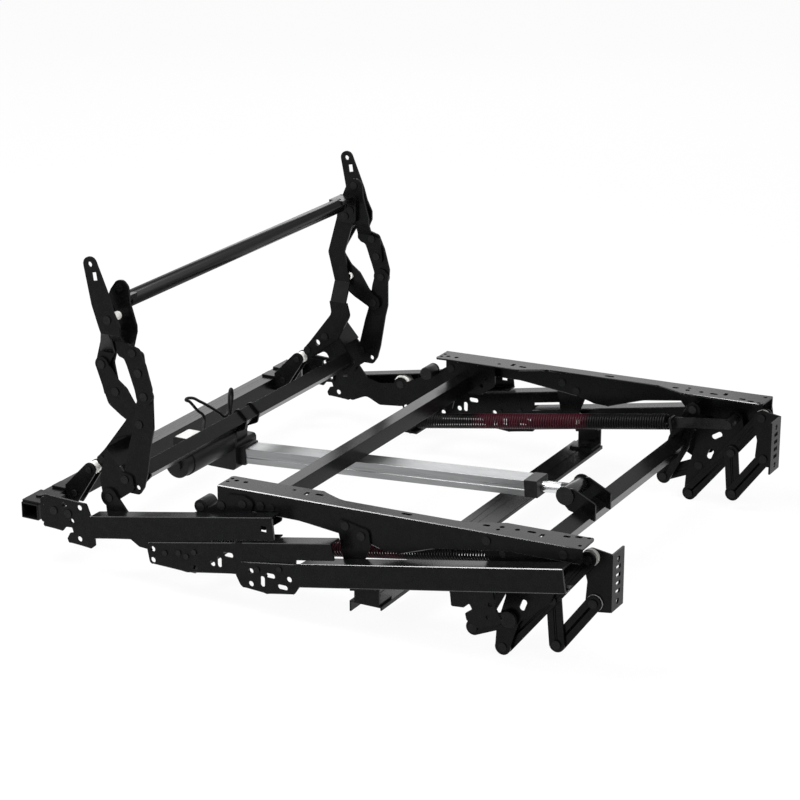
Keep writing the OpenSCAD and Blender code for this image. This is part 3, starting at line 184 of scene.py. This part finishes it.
nylon = surface("nylon", dark=(0.72, 0.71, 0.67), light=(0.86, 0.85, 0.81),
                rough=0.45, rough_span=0.08, scale=600, bump=0.1)
grey_nylon = surface("grey_nylon", dark=(0.2, 0.2, 0.19), light=(0.28, 0.28, 0.27),
                     rough=0.45, rough_span=0.08, scale=600, bump=0.1)
rubber = surface("lead_rubber", dark=grey(0.003), light=grey(0.006),
                 rough=0.5, rough_span=0.06, scale=900, bump=0.2, specular=0.2)
pale = surface("blank_plate", dark=(0.42, 0.42, 0.41), light=(0.55, 0.55, 0.54),
               rough=0.5, rough_span=0.08, scale=500, bump=0.1)

# Rod: the share of its length that is the eye, the width of that change and the eye's tint
ROD_EYE = 0.16
EYE_EDGE = 0.005
EYE_TINT = (0.008, 0.008, 0.009)
# Colour sockets of a Mix node
MIX_A = 6
MIX_B = 7
MIX_RESULT = 2


def rod_material():
    """Bright ground rod with a dark cross eye at its front end."""
    material = surface("rod_steel", dark=(0.6, 0.61, 0.63), light=(0.78, 0.79, 0.8),
                       rough=0.22, rough_span=0.06, scale=600, bump=0.06, stretch=(1, 0.1, 1))
    tree = material.node_tree
    shader = tree.nodes["Principled BSDF"]
    ground = ramp(tree, along_y(tree), [(ROD_EYE, grey(0)), (ROD_EYE + EYE_EDGE, grey(1))])
    tint = ramp(tree, ground.outputs["Color"], [(0, EYE_TINT), (1, grey(1))])
    mix = add(tree, "ShaderNodeMix", data_type="RGBA", blend_type="MULTIPLY", Factor=1.0)
    mottled = shader.inputs["Base Color"].links[0].from_socket
    tree.links.new(mottled, mix.inputs[MIX_A])
    tree.links.new(tint.outputs["Color"], mix.inputs[MIX_B])
    tree.links.new(mix.outputs[MIX_RESULT], shader.inputs["Base Color"])
    tree.links.new(ground.outputs["Color"], shader.inputs["Metallic"])
    return material


by_slot = {
    "coated_steel": coat,
    "coated_link": coat_link,
    "coated_tube": coat_tube,
    "rivet_steel": rivet,
    "pin_steel": steel,
    "rod_steel": rod_material(),
    "profile_aluminium": alu,
    "black_plastic": plastic,
    "nylon": nylon,
    "spring_wire": rivet,
    "lead_rubber": rubber,
}

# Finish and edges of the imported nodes
FOLDED = ("rear_channel", "front_channel", "middle_channel", "seat_rail")
BEND_ANGLE = math.radians(80)
BEND_LENGTH = 0.02
BEND_WIDTH = 0.0009
EDGE_WIDTH = 0.0005
EDGE_ANGLE = math.radians(50)
WELD_DISTANCE = 0.00001


def greater(group, value, limit):
    node = add(group, "FunctionNodeCompare", operation="GREATER_THAN", B=limit)
    group.links.new(value, node.inputs["A"])
    return node.outputs["Result"]


def bend_group():
    """Marks the long sharp edges of folded sheet, so that only they are rounded."""
    group = bpy.data.node_groups.new("bend_edges", "GeometryNodeTree")
    for way in ("INPUT", "OUTPUT"):
        group.interface.new_socket("Geometry", in_out=way, socket_type="NodeSocketGeometry")
    start = group.nodes.new("NodeGroupInput")
    end = group.nodes.new("NodeGroupOutput")
    angle = group.nodes.new("GeometryNodeInputMeshEdgeAngle")
    ends = group.nodes.new("GeometryNodeInputMeshEdgeVertices")
    span = add(group, "ShaderNodeVectorMath", operation="DISTANCE")
    group.links.new(ends.outputs["Position 1"], span.inputs[0])
    group.links.new(ends.outputs["Position 2"], span.inputs[1])
    both = group.nodes.new("FunctionNodeBooleanMath")
    group.links.new(greater(group, angle.outputs["Unsigned Angle"], BEND_ANGLE), both.inputs[0])
    group.links.new(greater(group, span.outputs["Value"], BEND_LENGTH), both.inputs[1])
    mark = add(group, "GeometryNodeStoreNamedAttribute", data_type="FLOAT", domain="EDGE",
               Name="bevel_weight_edge")
    group.links.new(start.outputs[0], mark.inputs["Geometry"])
    group.links.new(both.outputs[0], mark.inputs["Value"])
    group.links.new(mark.outputs["Geometry"], end.inputs[0])
    return group


def bevel(obj, width, segments, limit):
    modifier = obj.modifiers.new("bevel", "BEVEL")
    modifier.width = width
    modifier.segments = segments
    modifier.limit_method = limit
    modifier.angle_limit = EDGE_ANGLE
    return modifier


bends = bend_group()
slots = {part["node"]: part["material_slot"] for part in frame["record"]["subparts"]}
for name, obj in nodes.items():
    obj.data.materials.clear()
    obj.data.materials.append(by_slot[slots[name]])
    obj.modifiers.new("weld", "WELD").merge_threshold = WELD_DISTANCE
    if name.startswith(FOLDED):
        # The fold bevel faces take the lighter material, a painted highlight along the bends
        obj.data.materials.append(bend_highlight)
        obj.modifiers.new("bends", "NODES").node_group = bends
        fold = bevel(obj, BEND_WIDTH, 1, "WEIGHT")
        fold.use_clamp_overlap = False
        fold.material = 1
    else:
        bevel(obj, EDGE_WIDTH, 2, "ANGLE")


# Helpers for the pieces that are made here
def mesh_object(name, bm, material, smooth=True):
    mesh = bpy.data.meshes.new(name)
    bm.to_mesh(mesh)
    bm.free()
    for polygon in mesh.polygons:
        polygon.use_smooth = smooth
    mesh.materials.append(material)
    return new_object(name, mesh)


def bridge(bm, ring, other):
    """A band of faces between two closed rings of vertices."""
    for k in range(len(ring)):
        m = (k + 1) % len(ring)
        bm.faces.new((ring[k], ring[m], other[m], other[k]))


# Motor lead, from the terminal cover over and behind the lower bar to the gearbox
LEAD_WIDTH = 0.004
LEAD = [(-65, 171.563, -34.134), (-62, 173.5, -28), (-57.6, 175, -20), (-71.9, 177, -4), (-86.4, 178, 11.4),
        (-96.3, 177, 18.7), (-93.3, 174, 19.7), (-73.3, 171, 9.2), (-52.8, 169, -4.3), (-32.9, 168, -18),
        (-17.2, 168, -27.8), (-9.8, 168, -23), (-7.8, 168, -10.9), (-5.8, 168, 0.6), (-2.4, 168, 5.9),
        (0.6, 168, -1.4), (-0.9, 168, -13), (-4.4, 168, -24.7), (-6.5, 168, -32.6), (-7, 167, -40)]


def lead():
    """A smooth curve through the points."""
    curve = bpy.data.curves.new("lead", "CURVE")
    curve.dimensions = "3D"
    curve.bevel_depth = LEAD_WIDTH / 2
    curve.bevel_resolution = 4
    curve.resolution_u = 8
    path = [row(*point) for point in LEAD]
    spline = curve.splines.new("BEZIER")
    spline.bezier_points.add(len(path) - 1)
    for knot, point in zip(spline.bezier_points, path):
        knot.co = point
        knot.handle_left_type = "AUTO"
        knot.handle_right_type = "AUTO"
    curve.materials.append(rubber)
    obj = new_object("lead", curve)
    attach(obj, "actuator")
    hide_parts("motor_lead")


lead()

# Return springs
SPRING_X = 260
SPRING_REAR = (31, -97.5)
SPRING_FRONT = (-360.5, -32.4)
SPRING_TAIL = 0.0052
SPRING_SHORT = 0.0007
COIL_R = 0.0096
COIL_TURNS = 104
TURN_STEPS = 14
WIRE_R = 0.00135
WIRE_SIDES = 8
WIRE_BLACK = (0.0025, 0.0023, 0.0024)
WIRE_WINE = (0.034, 0.004, 0.009)


def wire_material():
    """Black wire with a wine-red middle."""
    material, tree, shader = new_material("spring_wire_detail")
    bands = [(0.3, WIRE_BLACK), (0.34, WIRE_WINE), (0.72, WIRE_WINE), (0.76, WIRE_BLACK)]
    colour = ramp(tree, along_y(tree), bands)
    tree.links.new(colour.outputs["Color"], shader.inputs["Base Color"])
    place = tree.nodes.new("ShaderNodeTexCoord")
    noise = add(tree, "ShaderNodeTexNoise", Scale=700.0, Detail=4.0)
    tree.links.new(place.outputs["Object"], noise.inputs["Vector"])
    gloss = ramp(tree, noise.outputs["Fac"], [(0.3, grey(0.25)), (0.7, grey(0.4))])
    tree.links.new(gloss.outputs["Color"], shader.inputs["Roughness"])
    shader.inputs["Specular IOR Level"].default_value = 0.12
    return material


def coil_path(start, axis, length, side):
    """The wire's centre line: close turns, with a straight tail at each end."""
    across = Vector((1, 0, 0))
    up = axis.cross(across)
    offset = across * side * COIL_R
    count = COIL_TURNS * TURN_STEPS
    path = [start - offset]
    for i in range(count + 1):
        angle = 2 * math.pi * i / TURN_STEPS
        along = SPRING_TAIL + (length - 2 * SPRING_TAIL) * i / count
        path.append(start + axis * along - offset * math.cos(angle) + up * COIL_R * math.sin(angle))
    path.append(start + axis * length - offset)
    return path


def spring(side, tag):
    start = row(side * SPRING_X, *SPRING_REAR)
    end = row(side * SPRING_X, *SPRING_FRONT)
    axis = (end - start).normalized()
    path = coil_path(start, axis, (end - start).length - SPRING_SHORT, side)
    bm = bmesh.new()
    rings = []
    for i, point in enumerate(path):
        along = (path[min(i + 1, len(path) - 1)] - path[max(i - 1, 0)]).normalized()
        out = point - start - axis * (point - start).dot(axis)
        out = (out - along * out.dot(along)).normalized()
        beside = along.cross(out)
        ring = []
        for k in range(WIRE_SIDES):
            angle = 2 * math.pi * k / WIRE_SIDES
            ring.append(bm.verts.new(point + WIRE_R * (out * math.cos(angle) + beside * math.sin(angle))))
        rings.append(ring)
    for ring, other in zip(rings, rings[1:]):
        bridge(bm, ring, other)
    bm.faces.new(rings[0])
    bm.faces.new(rings[-1][::-1])
    bmesh.ops.recalc_face_normals(bm, faces=bm.faces)
    obj = mesh_object("coil_" + tag, bm, wire)
    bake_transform(obj)
    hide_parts("return_spring_" + tag)


wire = wire_material()
spring(1, "l")
spring(-1, "r")

# Blank plate on the motor's terminal cover
PLATE_X = (-104.5, -71.5)
PLATE_Y = (167, 191)
PLATE_T = 0.3
PLATE_CORNER = 0.002
CORNER_STEPS = 5
COVER_TOP = -33.5
LEVEL_EDGE = 0.00001


def motor_plate():
    middle = row(sum(PLATE_X) / 2, sum(PLATE_Y) / 2, COVER_TOP + PLATE_T / 2)
    size = Vector((PLATE_X[1] - PLATE_X[0], PLATE_Y[1] - PLATE_Y[0], PLATE_T)) / 1000
    bm = bmesh.new()
    bmesh.ops.create_cube(bm, size=1, matrix=Matrix.Translation(middle) @ Matrix.Diagonal(size).to_4x4())
    upright = [e for e in bm.edges if abs(e.verts[0].co.z - e.verts[1].co.z) > LEVEL_EDGE]
    bmesh.ops.bevel(bm, geom=upright, offset=PLATE_CORNER, segments=CORNER_STEPS, affect="EDGES", profile=0.5)
    obj = mesh_object("motor_plate", bm, pale, smooth=False)
    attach(obj, "actuator")


motor_plate()

# Nylon washers at the footrest bracket's two pivots: y, z and the outer face
WASHERS = [(-483, -8.5, 273.4), (-488, -64.5, 269.8)]
WASHER_FACE = 268.6
WASHER_IN = 5.2
WASHER_OUT = 10.2
WASHER_EDGE = 0.3
WASHER_STEPS = 40


def washer(side, y, z, outer_face):
    profile = [(WASHER_IN, WASHER_FACE), (WASHER_OUT - WASHER_EDGE, WASHER_FACE),
               (WASHER_OUT, WASHER_FACE + WASHER_EDGE), (WASHER_OUT, outer_face - WASHER_EDGE),
               (WASHER_OUT - WASHER_EDGE, outer_face), (WASHER_IN, outer_face)]
    bm = bmesh.new()
    rings = []
    for i in range(WASHER_STEPS):
        c = math.cos(2 * math.pi * i / WASHER_STEPS)
        s = math.sin(2 * math.pi * i / WASHER_STEPS)
        rings.append([bm.verts.new(row(side * x, y + r * c, z + r * s)) for r, x in profile])
    for i in range(WASHER_STEPS):
        bridge(bm, rings[i], rings[(i + 1) % WASHER_STEPS])
    bmesh.ops.recalc_face_normals(bm, faces=bm.faces)
    obj = mesh_object("washer_%d_%d" % (side, -z), bm, grey_nylon, smooth=False)
    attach(obj, "footrest")


for side in (1, -1):
    for y, z, outer_face in WASHERS:
        washer(side, y, z, outer_face)

# Stop brackets on the rear tube: two plates and a tab, a bush between them and bolt heads outside
STOP_IN = 246
STOP_OUT = 262
STOP_T = 3
STOP_LUG = (214, -31)
STOP_R = 9
BUSH_R = 8
BUSH_GAP = 0.05
BOLT_AT = (238, -66)
BOLT_R = 4.2
BOLT_H = 2.2
BOLT_STEPS = 20
TUBE_FRONT = 252.9
ARM_FOOT = [(TUBE_FRONT, -58), (TUBE_FRONT, -84), (238, -84), (240, -54)]
TAB_FRONT = TUBE_FRONT - 2
TAB_REAR = 274
TAB_TOP = -62.8
TAB_UNDER = TUBE_TOP + 0.1


def hull_outline(points):
    """The convex outline round the points, as a lower and an upper chain."""
    def chain(sequence):
        out = []
        for q in sequence:
            while len(out) > 1 and ((out[-1][0] - out[-2][0]) * (q[1] - out[-2][1])
                                    - (out[-1][1] - out[-2][1]) * (q[0] - out[-2][0])) <= 0:
                out.pop()
            out.append(q)
        return out[:-1]

    ordered = sorted(points)
    return chain(ordered) + chain(ordered[::-1])


def circle(centre, radius, steps=32):
    angles = [2 * math.pi * k / steps for k in range(steps)]
    return [(centre[0] + radius * math.cos(a), centre[1] + radius * math.sin(a)) for a in angles]


def prism(bm, outline, x0, x1):
    first = [bm.verts.new(row(x0, *q)) for q in outline]
    second = [bm.verts.new(row(x1, *q)) for q in outline]
    bm.faces.new(first)
    bm.faces.new(second[::-1])
    bridge(bm, second, first)


def stop_piece(name, prisms, side, material):
    bm = bmesh.new()
    for outline, x0, x1 in prisms:
        prism(bm, outline, side * x0, side * x1)
    bmesh.ops.recalc_face_normals(bm, faces=bm.faces)
    obj = mesh_object("%s_%s" % (name, "l" if side > 0 else "r"), bm, material, smooth=False)
    bevel(obj, EDGE_WIDTH, 2, "ANGLE")
    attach(obj, "base")


arm = hull_outline(circle(STOP_LUG, STOP_R) + ARM_FOOT)
tab = [(TAB_FRONT, TAB_TOP), (TAB_REAR, TAB_TOP), (TAB_REAR, TAB_UNDER), (TAB_FRONT, TAB_UNDER)]
plates = [(arm, STOP_OUT, STOP_OUT + STOP_T), (arm, STOP_IN, STOP_IN + STOP_T),
          (tab, STOP_IN, STOP_OUT + STOP_T)]
bush = [(circle(STOP_LUG, BUSH_R), STOP_IN + STOP_T + BUSH_GAP, STOP_OUT - BUSH_GAP)]
heads = [(circle(centre, BOLT_R, BOLT_STEPS), x, x + BOLT_H)
         for centre in (STOP_LUG, BOLT_AT) for x in (STOP_IN - BOLT_H, STOP_OUT + STOP_T)]
for side in (1, -1):
    stop_piece("stop_bracket", plates, side, coat)
    stop_piece("stop_bush", bush, side, nylon)
    stop_piece("stop_bolt", heads, side, rivet)

# Floor, light and background
FLOOR_HALF = 12
FLOOR_Z = -0.001
FLOOR_WHITE = 0.93
WORLD_LIGHT = 0.45


def seen_rays(tree):
    """1 for rays that show the background: from the camera, in a gloss and through glass."""
    rays = tree.nodes.new("ShaderNodeLightPath")
    direct = add(tree, "ShaderNodeMath", operation="MAXIMUM")
    seen = add(tree, "ShaderNodeMath", operation="MAXIMUM")
    tree.links.new(rays.outputs["Is Camera Ray"], direct.inputs[0])
    tree.links.new(rays.outputs["Is Glossy Ray"], direct.inputs[1])
    tree.links.new(direct.outputs[0], seen.inputs[0])
    tree.links.new(rays.outputs["Is Transmission Ray"], seen.inputs[1])
    return seen.outputs[0]


def floor():
    """White to the rays that show it, but for a share that keeps the shadow."""
    bm = bmesh.new()
    corners = ((-1, -1), (1, -1), (1, 1), (-1, 1))
    bm.faces.new([bm.verts.new((x * FLOOR_HALF, y * FLOOR_HALF, FLOOR_Z)) for x, y in corners])
    material, tree, shader = new_material("floor")
    shader.inputs["Base Color"].default_value = (0.9, 0.9, 0.9, 1)
    shader.inputs["Roughness"].default_value = 0.9
    shader.inputs["Specular IOR Level"].default_value = 0.1
    glow = add(tree, "ShaderNodeEmission", Strength=1.0)
    share = add(tree, "ShaderNodeMath", operation="MULTIPLY")
    tree.links.new(seen_rays(tree), share.inputs[0])
    share.inputs[1].default_value = FLOOR_WHITE
    mix = tree.nodes.new("ShaderNodeMixShader")
    tree.links.new(share.outputs[0], mix.inputs["Fac"])
    tree.links.new(shader.outputs["BSDF"], mix.inputs[1])
    tree.links.new(glow.outputs["Emission"], mix.inputs[2])
    tree.links.new(mix.outputs["Shader"], tree.nodes["Material Output"].inputs["Surface"])
    obj = mesh_object("floor", bm, material, smooth=False)


def area(name, place, target, size, power):
    lamp = bpy.data.lights.new(name, "AREA")
    lamp.shape = "RECTANGLE"
    lamp.size, lamp.size_y = size
    lamp.energy = power
    obj = new_object(name, lamp)
    obj.location = place
    obj.rotation_euler = (Vector(target) - Vector(place)).to_track_quat("-Z", "Y").to_euler()


def background():
    """White to the rays that show it, and a weaker light on the object."""
    world = bpy.data.worlds.new("world")
    bpy.context.scene.world = world
    world.use_nodes = True
    tree = world.node_tree
    sky = tree.nodes["Background"]
    sky.inputs["Color"].default_value = (1, 1, 1, 1)
    strength = tree.nodes.new("ShaderNodeMapRange")
    strength.inputs["To Min"].default_value = WORLD_LIGHT
    strength.inputs["To Max"].default_value = 1.0
    tree.links.new(seen_rays(tree), strength.inputs["Value"])
    tree.links.new(strength.outputs["Result"], sky.inputs["Strength"])


floor()
area("key", place=(-1.2, -2.2, 2.6), target=(0, 0, 0.1), size=(1.6, 1.6), power=60)
area("strip", place=(-0.9, 1.2, 2.4), target=(0, 0, 0.1), size=(0.6, 1.8), power=80)
area("rim", place=(2.6, 1.4, 1.1), target=(0, 0, 0.15), size=(1.6, 0.8), power=7)
area("side", place=(-2.6, 1.0, 1.2), target=(0, 0, 0.1), size=(1.2, 1.2), power=30)
background()

bpy.context.scene.view_settings.view_transform = "Standard"
